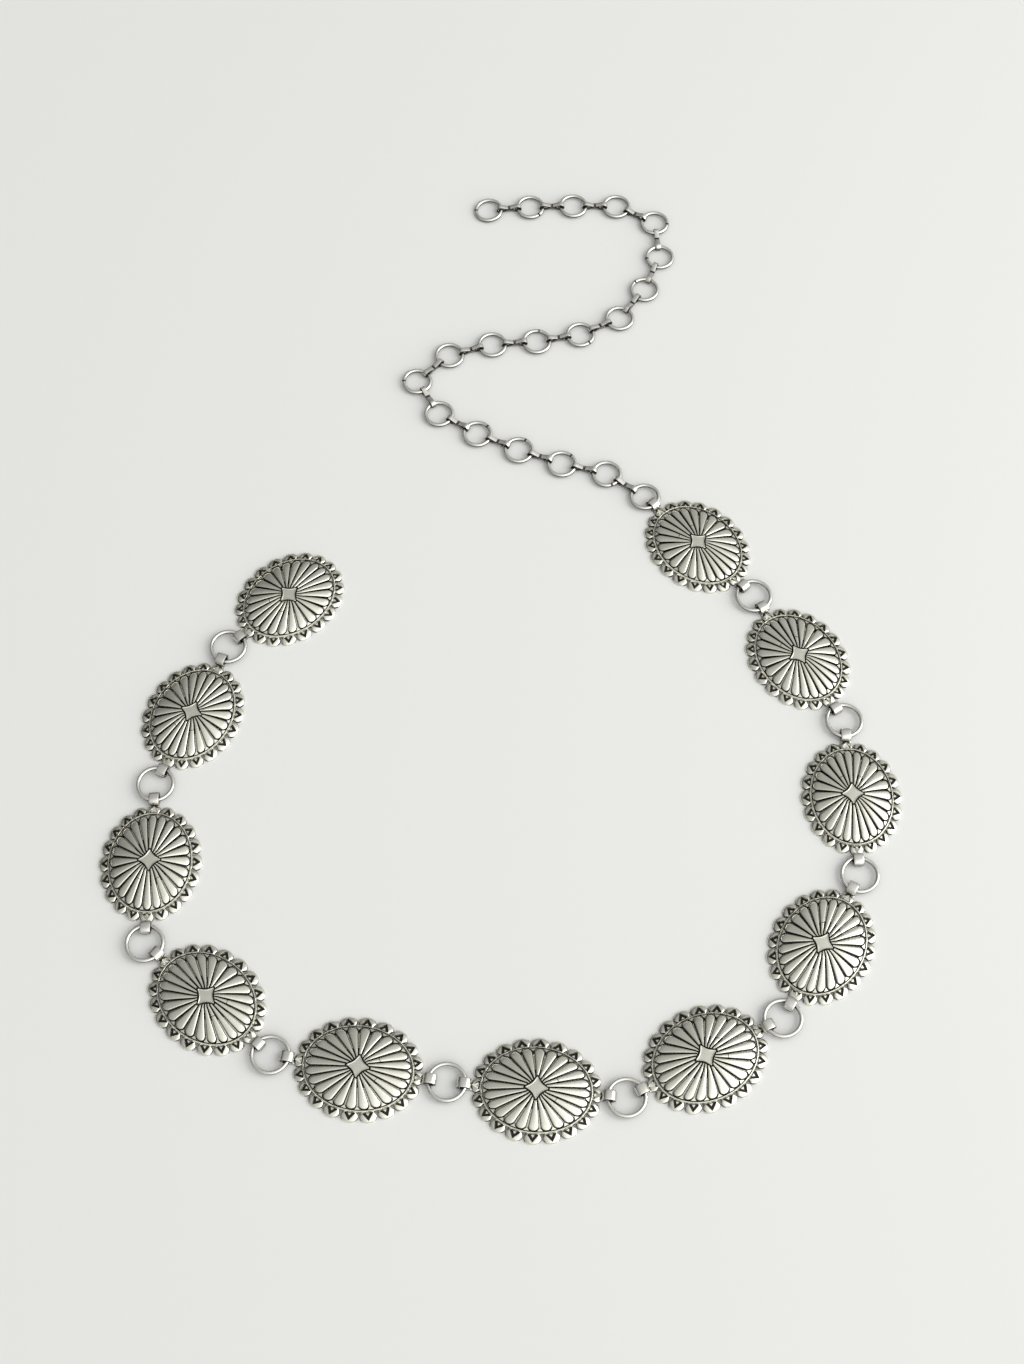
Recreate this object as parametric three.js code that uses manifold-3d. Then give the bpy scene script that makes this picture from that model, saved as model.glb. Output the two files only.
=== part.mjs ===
// A waist chain laid open on a flat surface: eleven cast oval medallions joined by plain round
// rings, and an extender of small rings held together by pinched strip links.
// Millimetres, +Z up, with the extender at the +Y end and the middle of the box at X = Y = 0.
import * as THREE from "three";
import { mergeVertices } from "three/addons/utils/BufferGeometryUtils.js";
import Module from "manifold-3d";

const wasm = await Module();
wasm.setup();

// Medallion: an oval dome with petals, a star, a raised oval wire and a scalloped rim, whose
// insets and depths run inwards from the tips of the scallops
const MEDALLION_LENGTH = 48;
const MEDALLION_WIDTH = 39.2;
const CROWN_HEIGHT = 4.5;
const FIELD_HEIGHT = 1.8;
const SCALLOPS = 20;
const SCALLOP_NOTCH = 1.5;
const SCALLOP_SHOULDER_DEG = 4.8;
const RIM_DEPTH = 3.9;
const RIM_FOOT_HEIGHT = 1.8;
const RIM_EDGE = 1.1;
const RIM_DRAFT = 0.2;
const SCALLOP_RELIEF = 0.5;
const OVAL_WIRE = 0.9;
const OVAL_WIRE_RELIEF = 0.5;
const PETALS = 24;
const PETAL_RELIEF = 0.8;
const PETAL_CLEARANCE = 0.7;
const STAR_REACH = 4.2;
const STAR_WAIST = 2.7;
const STAR_RELIEF = 0.5;
const STAR_DRAFT = 0.4;

// Hollow under the dome
const RIM_LAND = 5.4;
const SHELL_WALL = 0.6;
const HOLLOW_ROOF_LENGTH = 15;
const HOLLOW_ROOF_WIDTH = 12;

// Wire, gap between linked pieces, and the ring that joins two medallions
const WIRE = 1.6;
const LINK_GAP = 0.3;
const JOINING_RING = 15.2;

// Bail: the strap soldered under a medallion's end, which loops over a ring's wire
const BAIL_STRAP = 0.8;
const BAIL_WIDTH = 3.8;
const BAIL_EYE = 3.4;
const BAIL_TAB = 3;
const RING_STANDOFF = 1.65;

// Hook: a plain bent strip soldered inside the first medallion, at its free end
const HOOK_STRIP = 0.7;
const HOOK_WIDTH = 4;
const HOOK_LENGTH = 9.5;
const HOOK_BEND = 7.5;
const HOOK_CLEARANCE = 0.1;

// Extender: small rings and figure-of-eight strip links, pinched in the middle
const EXTENDER_RING = 13;
const LINK_SPAN = 7.9;
const LINK_STRIP = 0.6;
const LINK_WIDTH = 2;
const LINK_PINCH = 1.3;
const LOOSE_EYE = 3.1;
const LOOSE_PLAY = 0.45;

// Facets of the meshes
const WIRE_SIDES = 6;
const SMALL_WIRE_SIDES = 5;
const RING_SIDES = 12;
const STAR_POINTS = 4;
const HOLLOW_SIDES = 12;
const EYE_STEPS = 4;
const BACK_STEPS = 2;
const END_STEPS = 3;

// Colour and roughness of the cast medallions and of the plain wire and strip
const CAST_SILVER = { color: 0xa9a69a, roughness: 0.42 };
const WIRE_SILVER = { color: 0xb8b5aa, roughness: 0.3 };
const METALNESS = 0.9;

// Petal sections: reach is a share of the petal's length, relief a share of PETAL_RELIEF
const PETAL_SECTIONS = [
  { reach: 0.4, relief: 0.8 },
  { reach: 0.88, relief: 1 },
];

// Route, as compass headings in degrees from +X towards +Y: one for each medallion along the
// chain from its hook end, then one for each strip link towards the loose end
const MEDALLION_HEADINGS = [-136, -112, -89, -41, -9, -5, 27, 60, 91, 120, 132];
const LINK_HEADINGS = [
  144, 165, 159, 155, 148, 120, 45, 17, 5, 11, 27, 54, 68, 95, 151, 179, 182, 185,
];

// Sizes worked out from those above
const WIRE_RADIUS = WIRE / 2;
const EYE_RADIUS = WIRE_RADIUS + LINK_GAP;
const BAIL_HEIGHT = 2 * (EYE_RADIUS + BAIL_STRAP);
const LINK_HEIGHT = 2 * (EYE_RADIUS + LINK_STRIP);
const JOINING_RADIUS = (JOINING_RING - WIRE) / 2;
const EXTENDER_RADIUS = (EXTENDER_RING - WIRE) / 2;
const JOINING_LEVEL = BAIL_HEIGHT / 2;
const LINK_LEVEL = LINK_HEIGHT / 2;
const EXTENDER_LEVEL = LINK_STRIP + WIRE_RADIUS;
const SEAT = MEDALLION_LENGTH / 2 + RING_STANDOFF;
const HOLLOW_HEIGHT = domeHeight(HOLLOW_ROOF_LENGTH / 2) - PETAL_RELIEF - SHELL_WALL;

const TURN = 2 * Math.PI;

// Solids and meshes

function toSolid(geometry) {
  const bare = geometry.clone();
  bare.deleteAttribute("normal");
  bare.deleteAttribute("uv");
  const merged = mergeVertices(bare, 1e-5);
  const vertProperties = new Float32Array(merged.attributes.position.array);
  const triVerts = new Uint32Array(merged.index.array);
  return new wasm.Manifold(new wasm.Mesh({ numProp: 3, vertProperties, triVerts }));
}

function toGeometry(solid) {
  const mesh = solid.getMesh();
  const geometry = new THREE.BufferGeometry();
  geometry.setAttribute("position", new THREE.BufferAttribute(mesh.vertProperties, 3));
  geometry.setIndex(new THREE.BufferAttribute(mesh.triVerts, 1));
  geometry.computeVertexNormals();
  return geometry;
}

function fuse(geometries) {
  const solids = geometries.map(toSolid);
  return toGeometry(solids.reduce((whole, solid) => whole.add(solid)));
}

function named(name, geometry, { color, roughness }) {
  const material = new THREE.MeshStandardMaterial({ color, roughness, metalness: METALNESS });
  const mesh = new THREE.Mesh(geometry, material);
  mesh.name = name;
  return mesh;
}

function numbered(stem, index) {
  return `${stem}_${String(index + 1).padStart(2, "0")}`;
}

// Loops of points round the medallion, each sorted by its angle t

function ovalPoint(t, halfLength, halfWidth, z) {
  return { t, x: halfLength * Math.cos(t), y: halfWidth * Math.sin(t), z };
}

function insetPoint(t, inset, z) {
  return ovalPoint(t, MEDALLION_LENGTH / 2 - inset, MEDALLION_WIDTH / 2 - inset, z);
}

// Points at even places stand at z, and those at odd places lie lower by the drop
function insetLoop(count, inset, z, drop = 0) {
  return Array.from({ length: count }, (_, i) =>
    insetPoint((i * TURN) / count, inset, i % 2 === 0 ? z : z - drop),
  );
}

function domeHeight(halfLength) {
  const share = halfLength / (MEDALLION_LENGTH / 2 - RIM_DEPTH);
  return FIELD_HEIGHT + (CROWN_HEIGHT - FIELD_HEIGHT) * (1 - share * share);
}

function starLoop(growth, z) {
  const corners = 2 * STAR_POINTS;
  return Array.from({ length: corners }, (_, i) => {
    const reach = (i % 2 === 0 ? STAR_REACH : STAR_WAIST) + growth;
    return ovalPoint((i * TURN) / corners, reach, reach, z);
  });
}

// The ridges of the petals start round the foot of the star
function petalRoots() {
  const reach = STAR_REACH + 2 * STAR_DRAFT;
  return Array.from({ length: PETALS }, (_, i) =>
    ovalPoint((i * TURN) / PETALS, reach, reach, domeHeight(reach)),
  );
}

// Ridges and grooves alternate, with a ridge at each end of the long axis
function petalLoop({ reach, relief }) {
  const inner = STAR_REACH + 2 * STAR_DRAFT;
  const inset = RIM_DEPTH + PETAL_CLEARANCE;
  const halfLength = THREE.MathUtils.lerp(inner, MEDALLION_LENGTH / 2 - inset, reach);
  const halfWidth = THREE.MathUtils.lerp(inner, MEDALLION_WIDTH / 2 - inset, reach);
  const ridge = domeHeight(halfLength);
  const groove = ridge - relief * PETAL_RELIEF;
  return Array.from({ length: 2 * PETALS }, (_, i) =>
    ovalPoint((i * TURN) / (2 * PETALS), halfLength, halfWidth, i % 2 === 0 ? ridge : groove),
  );
}

// A notch and two shoulders for each scallop, whose flat tip lies on the medallion's outline
function scallopLoop(z, draft) {
  const shoulder = THREE.MathUtils.degToRad(SCALLOP_SHOULDER_DEG);
  const swell = 1 / Math.cos(shoulder);
  const points = [];
  for (let i = 0; i < SCALLOPS; i += 1) {
    const notch = ((i - 0.5) * TURN) / SCALLOPS;
    const tip = (i * TURN) / SCALLOPS;
    points.push(insetPoint(notch, SCALLOP_NOTCH + draft, z));
    for (const side of [-shoulder, shoulder]) {
      const point = insetPoint(tip + side, draft, z);
      points.push({ ...point, x: point.x * swell, y: point.y * swell });
    }
  }
  return points;
}

// One closed surface from loops, each next one lying outside or below the one before
class LoopSurface {
  constructor() {
    this.positions = [];
    this.triangles = [];
  }

  addPoint({ x, y, z }) {
    this.positions.push(x, y, z);
    return this.positions.length / 3 - 1;
  }

  addLoop(points) {
    return { points, ids: points.map((point) => this.addPoint(point)) };
  }

  cap(loop, z, faceUp) {
    const middle = this.addPoint({ x: 0, y: 0, z });
    loop.ids.forEach((id, i) => {
      const next = loop.ids[(i + 1) % loop.ids.length];
      this.triangles.push(...(faceUp ? [middle, id, next] : [middle, next, id]));
    });
  }

  stitch(from, to) {
    const a = from.points.length;
    const b = to.points.length;
    let i = 0;
    let j = 0;
    while (i < a || j < b) {
      const nextA = from.points[(i + 1) % a].t + TURN * Math.floor((i + 1) / a);
      const nextB = to.points[(j + 1) % b].t + TURN * Math.floor((j + 1) / b);
      const stepFrom = j >= b || (i < a && nextA <= nextB);
      const here = from.ids[i % a];
      const there = to.ids[j % b];
      if (stepFrom) {
        i += 1;
        this.triangles.push(here, there, from.ids[i % a]);
      } else {
        j += 1;
        this.triangles.push(here, there, to.ids[j % b]);
      }
    }
  }

  geometry() {
    const geometry = new THREE.BufferGeometry();
    geometry.setAttribute("position", new THREE.Float32BufferAttribute(this.positions, 3));
    geometry.setIndex(this.triangles);
    return geometry;
  }
}

function medallionShell() {
  const starTop = CROWN_HEIGHT + STAR_RELIEF;
  const starFoot = domeHeight(STAR_REACH) - PETAL_RELIEF / 2;
  const wireOutside = RIM_DEPTH - OVAL_WIRE / 2;
  const shell = new LoopSurface();
  const loops = [
    starLoop(0, starTop),
    starLoop(STAR_DRAFT, starFoot),
    petalRoots(),
    ...PETAL_SECTIONS.map(petalLoop),
    insetLoop(PETALS, RIM_DEPTH + OVAL_WIRE / 2, FIELD_HEIGHT),
    insetLoop(PETALS, RIM_DEPTH, FIELD_HEIGHT + OVAL_WIRE_RELIEF),
    insetLoop(2 * SCALLOPS, wireOutside, RIM_FOOT_HEIGHT, SCALLOP_RELIEF),
    scallopLoop(RIM_EDGE, 0),
    scallopLoop(0, RIM_DRAFT),
    insetLoop(SCALLOPS, RIM_LAND, 0),
    hollowRoof(),
  ].map((points) => shell.addLoop(points));
  shell.cap(loops[0], starTop, true);
  loops.slice(1).forEach((loop, i) => shell.stitch(loops[i], loop));
  shell.cap(loops[loops.length - 1], HOLLOW_HEIGHT, false);
  return shell.geometry();
}

function hollowRoof() {
  const halfLength = HOLLOW_ROOF_LENGTH / 2;
  const halfWidth = HOLLOW_ROOF_WIDTH / 2;
  return Array.from({ length: HOLLOW_SIDES }, (_, i) =>
    ovalPoint((i * TURN) / HOLLOW_SIDES, halfLength, halfWidth, HOLLOW_HEIGHT),
  );
}

// Points on an arc in X and Z, from one angle to another in degrees
function arc(x, z, radius, from, to, steps) {
  return Array.from({ length: steps + 1 }, (_, i) => {
    const angle = THREE.MathUtils.degToRad(THREE.MathUtils.lerp(from, to, i / steps));
    return new THREE.Vector2(x + radius * Math.cos(angle), z + radius * Math.sin(angle));
  });
}

function corner(x, z) {
  return new THREE.Vector2(x, z);
}

// A side profile drawn in X and Z, given its width across Y
function strip(outline, holes, width) {
  const shape = new THREE.Shape(outline);
  shape.holes = holes.map((points) => new THREE.Path(points));
  const geometry = new THREE.ExtrudeGeometry(shape, { depth: width, bevelEnabled: false });
  geometry.rotateX(Math.PI / 2);
  geometry.translate(0, width / 2, 0);
  return geometry;
}

// The eye stands past the scallop's tip and its tab runs back under the rim
function bail() {
  const tabEnd = MEDALLION_LENGTH / 2 - BAIL_TAB;
  const radius = BAIL_HEIGHT / 2;
  const eyeStart = SEAT - EYE_RADIUS;
  const eyeEnd = eyeStart + BAIL_EYE;
  const back = eyeStart - BAIL_STRAP;
  const front = eyeEnd + BAIL_STRAP;
  const outline = [
    corner(tabEnd, 0),
    ...arc(front - radius, radius, radius, -90, 90, END_STEPS),
    ...arc(back + radius, radius, radius, 90, 180, BACK_STEPS),
    corner(back, BAIL_STRAP),
    corner(tabEnd, BAIL_STRAP),
  ];
  const eye = [
    ...arc(eyeEnd - EYE_RADIUS, radius, EYE_RADIUS, -90, 90, EYE_STEPS),
    ...arc(eyeStart + EYE_RADIUS, radius, EYE_RADIUS, 90, 270, EYE_STEPS),
  ];
  return strip(outline, [eye], BAIL_WIDTH);
}

function hook() {
  const roof = HOLLOW_HEIGHT + SHELL_WALL / 2;
  const tongueTop = HOOK_CLEARANCE + HOOK_STRIP;
  const outline = [
    corner(-HOOK_BEND, HOOK_CLEARANCE),
    corner(HOOK_LENGTH - HOOK_BEND, HOOK_CLEARANCE),
    corner(HOOK_LENGTH - HOOK_BEND, tongueTop),
    corner(HOOK_STRIP - HOOK_BEND, tongueTop),
    corner(HOOK_STRIP - HOOK_BEND, roof),
    corner(-HOOK_BEND, roof),
  ];
  return strip(outline, [], HOOK_WIDTH);
}

function wireRing(radius, wireSides) {
  return new THREE.TorusGeometry(radius, WIRE_RADIUS, wireSides, RING_SIDES);
}

// Two eyes with a waist pressed together between them, each closed on the ring that it holds
function stripLink(eyes) {
  const middle = LINK_SPAN / 2;
  const outer = LINK_HEIGHT / 2;
  const outline = [
    corner(0, -LINK_PINCH / 2),
    ...arc(middle, 0, outer, -90, 90, END_STEPS),
    corner(0, LINK_PINCH / 2),
    ...arc(-middle, 0, outer, 90, 270, END_STEPS),
  ];
  return strip(outline, eyes, LINK_WIDTH);
}

// The last link's outer eye is open, so that the end ring hangs loose in it
function looseEye() {
  const end = LINK_SPAN / 2 + EYE_RADIUS;
  const start = end - LOOSE_EYE;
  return [
    ...arc(end - EYE_RADIUS, 0, EYE_RADIUS, -90, 90, END_STEPS),
    ...arc(start + EYE_RADIUS, 0, EYE_RADIUS, 90, 270, END_STEPS),
  ];
}

// Route

function direction(heading) {
  const angle = THREE.MathUtils.degToRad(heading);
  return new THREE.Vector3(Math.cos(angle), Math.sin(angle), 0);
}

function step(from, heading, distance) {
  return from.clone().addScaledVector(direction(heading), distance);
}

function placement(position, heading, tilt = 0) {
  const turn = new THREE.Euler(0, tilt, THREE.MathUtils.degToRad(heading), "ZYX");
  const rotation = new THREE.Quaternion().setFromEuler(turn);
  return new THREE.Matrix4().compose(position, rotation, new THREE.Vector3(1, 1, 1));
}

function lifted(position, z) {
  return position.clone().setZ(z);
}

// A ring held higher at its near side than at its far side
function leaningRing(near, heading, nearLevel, farLevel) {
  const tilt = Math.asin((nearLevel - farLevel) / (2 * EXTENDER_RADIUS));
  const middle = step(near, heading, EXTENDER_RADIUS * Math.cos(tilt));
  const matrix = placement(lifted(middle, (nearLevel + farLevel) / 2), heading, tilt);
  return { middle, geometry: wireRing(EXTENDER_RADIUS, SMALL_WIRE_SIDES).applyMatrix4(matrix) };
}

// Medallions and joining rings, in order along the chain

function medallionRow(group) {
  const plain = medallionShell();
  const backwardBail = bail().rotateZ(Math.PI);
  const geometries = {
    first: fuse([plain, bail(), hook()]),
    middle: fuse([plain, bail(), backwardBail]),
  };
  let seat = new THREE.Vector3();
  MEDALLION_HEADINGS.forEach((heading, i) => {
    const middle = step(seat, heading, SEAT);
    const geometry = i === 0 ? geometries.first : geometries.middle;
    const medallion = named(numbered("concho", i), geometry, CAST_SILVER);
    medallion.position.copy(middle);
    medallion.rotation.z = THREE.MathUtils.degToRad(heading);
    group.add(medallion);
    seat = step(middle, heading, SEAT);
    const next = MEDALLION_HEADINGS[i + 1];
    if (next === undefined) {
      return;
    }
    const hub = step(seat, heading, JOINING_RADIUS);
    const wire = wireRing(JOINING_RADIUS, WIRE_SIDES);
    const ring = named(numbered("joining_ring", i), wire, WIRE_SILVER);
    ring.position.copy(lifted(hub, JOINING_LEVEL));
    ring.rotation.z = THREE.MathUtils.degToRad(heading);
    group.add(ring);
    seat = step(hub, next, JOINING_RADIUS);
  });
  return seat;
}

// The extender is one fused piece, apart from the loose ring at its end

function extenderChain(group, seat) {
  const lastHeading = MEDALLION_HEADINGS[MEDALLION_HEADINGS.length - 1];
  const first = leaningRing(seat, lastHeading, JOINING_LEVEL, EXTENDER_LEVEL);
  const solids = [first.geometry];
  let middle = first.middle;
  LINK_HEADINGS.forEach((heading, i) => {
    const last = i === LINK_HEADINGS.length - 1;
    const link = step(middle, heading, EXTENDER_RADIUS + LINK_SPAN / 2);
    const body = stripLink(last ? [looseEye()] : []);
    solids.push(body.applyMatrix4(placement(lifted(link, LINK_LEVEL), heading)));
    if (last) {
      const near = step(link, heading, LINK_SPAN / 2 - LOOSE_PLAY);
      const loose = leaningRing(near, heading, LINK_LEVEL, WIRE_RADIUS);
      group.add(named("extender_end_ring", loose.geometry, WIRE_SILVER));
      return;
    }
    middle = step(link, heading, LINK_SPAN / 2 + EXTENDER_RADIUS);
    const place = placement(lifted(middle, EXTENDER_LEVEL), heading);
    solids.push(wireRing(EXTENDER_RADIUS, SMALL_WIRE_SIDES).applyMatrix4(place));
  });
  group.add(named("extender_chain", fuse(solids), WIRE_SILVER));
}

const waistChain = new THREE.Group();
extenderChain(waistChain, medallionRow(waistChain));

// The middle of the box over the origin, with the lowest point on the surface
waistChain.updateMatrixWorld(true);
const box = new THREE.Box3().setFromObject(waistChain, true);
const centre = box.getCenter(new THREE.Vector3());
waistChain.position.set(-centre.x, -centre.y, -box.min.z);

export default waistChain;
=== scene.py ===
"""The looks of a waist chain of cast oval medallions, laid open on a pale surface.

Every piece is modelled in millimetres round the origin, then laid in its place in metres.
"""

import logging
import math
from collections.abc import Callable, Iterator
from contextlib import contextmanager
from dataclasses import dataclass, field
from enum import Enum

import bmesh
import bpy
from mathutils import Euler, Matrix, Vector

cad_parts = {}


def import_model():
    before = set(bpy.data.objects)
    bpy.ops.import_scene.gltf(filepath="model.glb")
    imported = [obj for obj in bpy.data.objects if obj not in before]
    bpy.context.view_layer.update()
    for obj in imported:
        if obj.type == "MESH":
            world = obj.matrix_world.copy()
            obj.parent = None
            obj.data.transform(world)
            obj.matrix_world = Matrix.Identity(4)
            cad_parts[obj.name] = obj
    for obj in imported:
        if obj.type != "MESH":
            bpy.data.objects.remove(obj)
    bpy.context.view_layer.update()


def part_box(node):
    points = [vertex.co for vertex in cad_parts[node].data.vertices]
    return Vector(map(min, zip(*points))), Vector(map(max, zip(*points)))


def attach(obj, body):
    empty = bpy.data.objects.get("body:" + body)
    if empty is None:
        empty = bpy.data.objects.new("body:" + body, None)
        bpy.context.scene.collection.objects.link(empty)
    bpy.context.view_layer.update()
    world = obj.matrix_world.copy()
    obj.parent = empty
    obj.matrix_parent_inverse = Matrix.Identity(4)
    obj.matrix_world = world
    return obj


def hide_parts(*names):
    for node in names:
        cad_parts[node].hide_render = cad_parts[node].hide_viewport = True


MM = 0.001
# Millimetres within which a point counts as being at a place.
CLOSE = 0.01
BODY = "root"
# The point attribute holds real patina in the hollows and painted shade on the sides and undersides of
# wires and strips.
PATINA_AND_SHADE = "patina"

log = logging.getLogger("waist_chain")


class Slot(Enum):
    """The record's material slots."""

    CAST = "antique_silver"
    PLAIN = "plain_silver"


def smooth_step(low: float, high: float, value: float) -> float:
    """Rise smoothly from 0 to 1 between two values.

    Args:
        low: The value at which the rise starts.
        high: The value at which it ends.
        value: The value to place on the rise.

    Returns:
        A share from 0 to 1.
    """
    share = min(max((value - low) / (high - low), 0.0), 1.0)
    return share * share * (3 - 2 * share)


class Bench:
    """Blender's modelling operators, used on one piece at a time."""

    @staticmethod
    def clear() -> None:
        """Leave nothing selected."""
        bpy.ops.object.select_all(action="DESELECT")

    @staticmethod
    def take(*pieces: bpy.types.Object) -> None:
        """Select some pieces alone.

        Args:
            *pieces: The pieces, with the one to be active first.
        """
        Bench.clear()
        for piece in pieces:
            piece.select_set(True)
        bpy.context.view_layer.objects.active = pieces[0]

    @staticmethod
    @contextmanager
    def editing(piece: bpy.types.Object) -> Iterator[None]:
        """Hold a piece in edit mode with all of it selected.

        Args:
            piece: The mesh to shape.

        Yields:
            Nothing, while the piece is being shaped.
        """
        Bench.take(piece)
        bpy.ops.object.mode_set(mode="EDIT")
        bpy.ops.mesh.select_mode(type="VERT")
        bpy.ops.mesh.select_all(action="SELECT")
        yield
        bpy.ops.object.mode_set(mode="OBJECT")

    @staticmethod
    def pick(piece: bpy.types.Object, test: Callable[[Vector], bool]) -> None:
        """Select the points whose place passes a test.

        Args:
            piece: A mesh in edit mode.
            test: Takes a point's place and says whether it is wanted.
        """
        bpy.ops.mesh.select_all(action="DESELECT")
        shape = bmesh.from_edit_mesh(piece.data)
        for point in shape.verts:
            point.select = test(point.co)
        shape.select_flush_mode()
        bmesh.update_edit_mesh(piece.data)

    @staticmethod
    def pick_faces(piece: bpy.types.Object, test: Callable[[Vector, Vector], bool]) -> None:
        """Select the faces whose middle and normal pass a test.

        Args:
            piece: A mesh in edit mode.
            test: Takes a face's middle and its normal.
        """
        bpy.ops.mesh.select_mode(type="FACE")
        bpy.ops.mesh.select_all(action="DESELECT")
        shape = bmesh.from_edit_mesh(piece.data)
        for face in shape.faces:
            face.select = test(face.calc_center_median(), face.normal)
        shape.select_flush_mode()
        bmesh.update_edit_mesh(piece.data)

    @staticmethod
    def raise_up(height: float) -> None:
        """Extrude what is selected along Z."""
        Bench.draw_out(0, height)

    @staticmethod
    def draw_out(x: float, z: float) -> None:
        """Extrude what is selected along X and Z."""
        bpy.ops.mesh.extrude_region_move(TRANSFORM_OT_translate={"value": (x, 0, z)})

    @staticmethod
    def scale(x: float, y: float, about: float = 0.0) -> None:
        """Scale what is selected along X and Y, about a place on X."""
        bpy.ops.transform.resize(value=(x, y, 1), center_override=(about, 0, 0))

    @staticmethod
    def turn(angle: float, about: float = 0.0) -> None:
        """Turn what is selected clockwise, seen from above, about a place on X."""
        bpy.ops.transform.rotate(value=angle, orient_axis="Z", center_override=(about, 0, 0))

    @staticmethod
    def face_out() -> None:
        """Turn every face of the piece outwards."""
        bpy.ops.mesh.select_all(action="SELECT")
        bpy.ops.mesh.normals_make_consistent(inside=False)

    @staticmethod
    def plate(name: str, near: float, far: float, width: float, z: float) -> bpy.types.Object:
        """Cut a rectangular plate that lies along X.

        Args:
            name: The piece's name.
            near: Where it starts on X.
            far: Where it ends on X.
            width: Its size across Y.
            z: Its height.

        Returns:
            A flat mesh of one face.
        """
        Bench.clear()
        bpy.ops.mesh.primitive_plane_add(size=1)
        piece = bpy.context.object
        piece.name = name
        with Bench.editing(piece):
            bpy.ops.transform.resize(value=(far - near, width, 1))
            bpy.ops.transform.translate(value=((near + far) / 2, 0, z))
        return piece

    @staticmethod
    def disc(name: str, sides: int, radius: float, z: float) -> bpy.types.Object:
        """Cut a round plate of one face, with its first corner on +X.

        Args:
            name: The piece's name.
            sides: How many corners it has.
            radius: From its middle to a corner.
            z: Its height.

        Returns:
            A flat mesh of one face.
        """
        Bench.clear()
        bpy.ops.mesh.primitive_circle_add(vertices=sides, radius=radius, fill_type="NGON")
        piece = bpy.context.object
        piece.name = name
        with Bench.editing(piece):
            Bench.turn(math.pi / 2)
            bpy.ops.transform.translate(value=(0, 0, z))
        return piece

    @staticmethod
    def modify(piece: bpy.types.Object, kind: str, **settings: object) -> None:
        """Add a modifier and apply it.

        Args:
            piece: The mesh to change.
            kind: Blender's name for the modifier.
            **settings: The modifier's properties.
        """
        Bench.take(piece)
        modifier = piece.modifiers.new(kind.title(), kind)
        for name, value in settings.items():
            setattr(modifier, name, value)
        bpy.ops.object.modifier_apply(modifier=modifier.name)

    @staticmethod
    def cut(piece: bpy.types.Object, cutter: bpy.types.Object) -> None:
        """Cut one closed piece away from another, and use the cutter up."""
        Bench.modify(piece, "BOOLEAN", operation="DIFFERENCE", solver="EXACT", object=cutter)
        bpy.data.objects.remove(cutter)

    @staticmethod
    def soften(piece: bpy.types.Object, width: float, angle: float) -> None:
        """Round a piece's sharp edges.

        Args:
            piece: The mesh to change.
            width: How wide the rounding is.
            angle: How sharp, in degrees, an edge has to be.
        """
        limit = math.radians(angle)
        Bench.modify(
            piece, "BEVEL", width=width, segments=2, limit_method="ANGLE", angle_limit=limit
        )

    @staticmethod
    def ring_of(piece: bpy.types.Object, count: int) -> None:
        """Repeat a piece round Z, in the same mesh.

        Args:
            piece: The mesh to repeat.
            count: How many of them the ring has.
        """
        with Bench.editing(piece):
            turn = 2 * math.pi
            bpy.ops.mesh.spin(
                steps=count, angle=turn, dupli=True, center=(0, 0, 0), axis=(0, 0, 1)
            )
            bpy.ops.mesh.select_all(action="SELECT")
            bpy.ops.mesh.remove_doubles(threshold=CLOSE / 100)
            Bench.face_out()

    @staticmethod
    def join(*pieces: bpy.types.Object) -> bpy.types.Object:
        """Join pieces into one.

        Args:
            *pieces: The pieces, of which the first takes the others in.

        Returns:
            The first piece.
        """
        Bench.take(*pieces)
        bpy.ops.object.join()
        return pieces[0]

    @staticmethod
    def copy(piece: bpy.types.Object, name: str) -> bpy.types.Object:
        """Copy a piece with a mesh of its own.

        Args:
            piece: The piece to copy.
            name: The copy's name.

        Returns:
            The new piece.
        """
        twin = piece.copy()
        twin.data = piece.data.copy()
        twin.name = name
        twin.data.name = name
        bpy.context.collection.objects.link(twin)
        return twin

    @staticmethod
    def smooth(piece: bpy.types.Object, angle: float) -> None:
        """Shade a piece smooth across edges flatter than an angle in degrees."""
        Bench.take(piece)
        bpy.ops.object.shade_smooth_by_angle(angle=math.radians(angle))


def note_patina_and_shade(piece: bpy.types.Object, rule: Callable[[Vector, Vector], float]) -> None:
    """Note on each point of a piece how dark its patina and its painted shade are.

    Args:
        piece: The mesh to mark.
        rule: Takes a point's place and normal, and gives 0 for bright and 1 for black.
    """
    patina = piece.data.attributes.new(PATINA_AND_SHADE, "FLOAT", "POINT")
    for mark, point in zip(patina.data, piece.data.vertices):
        mark.value = rule(point.co, point.normal)


def fade_upwards(piece: bpy.types.Object, black: float, bright: float) -> None:
    """Note a patina that fades with height.

    Args:
        piece: The mesh to mark.
        black: The height up to which it is black.
        bright: The height from which it is bright.
    """
    note_patina_and_shade(piece, lambda co, _: 1 - smooth_step(black, bright, co.z))


@dataclass(frozen=True)
class Place:
    """Where a piece lies: its middle in metres, its heading in degrees and its lean."""

    middle: Vector
    heading: float
    lean: float = 0.0

    def matrix(self) -> Matrix:
        """The matrix from a piece's own millimetres to the frame's metres."""
        turn = Euler((0, self.lean, math.radians(self.heading)), "XYZ").to_matrix().to_4x4()
        return Matrix.Translation(self.middle) @ turn @ Matrix.Scale(MM, 4)


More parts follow.
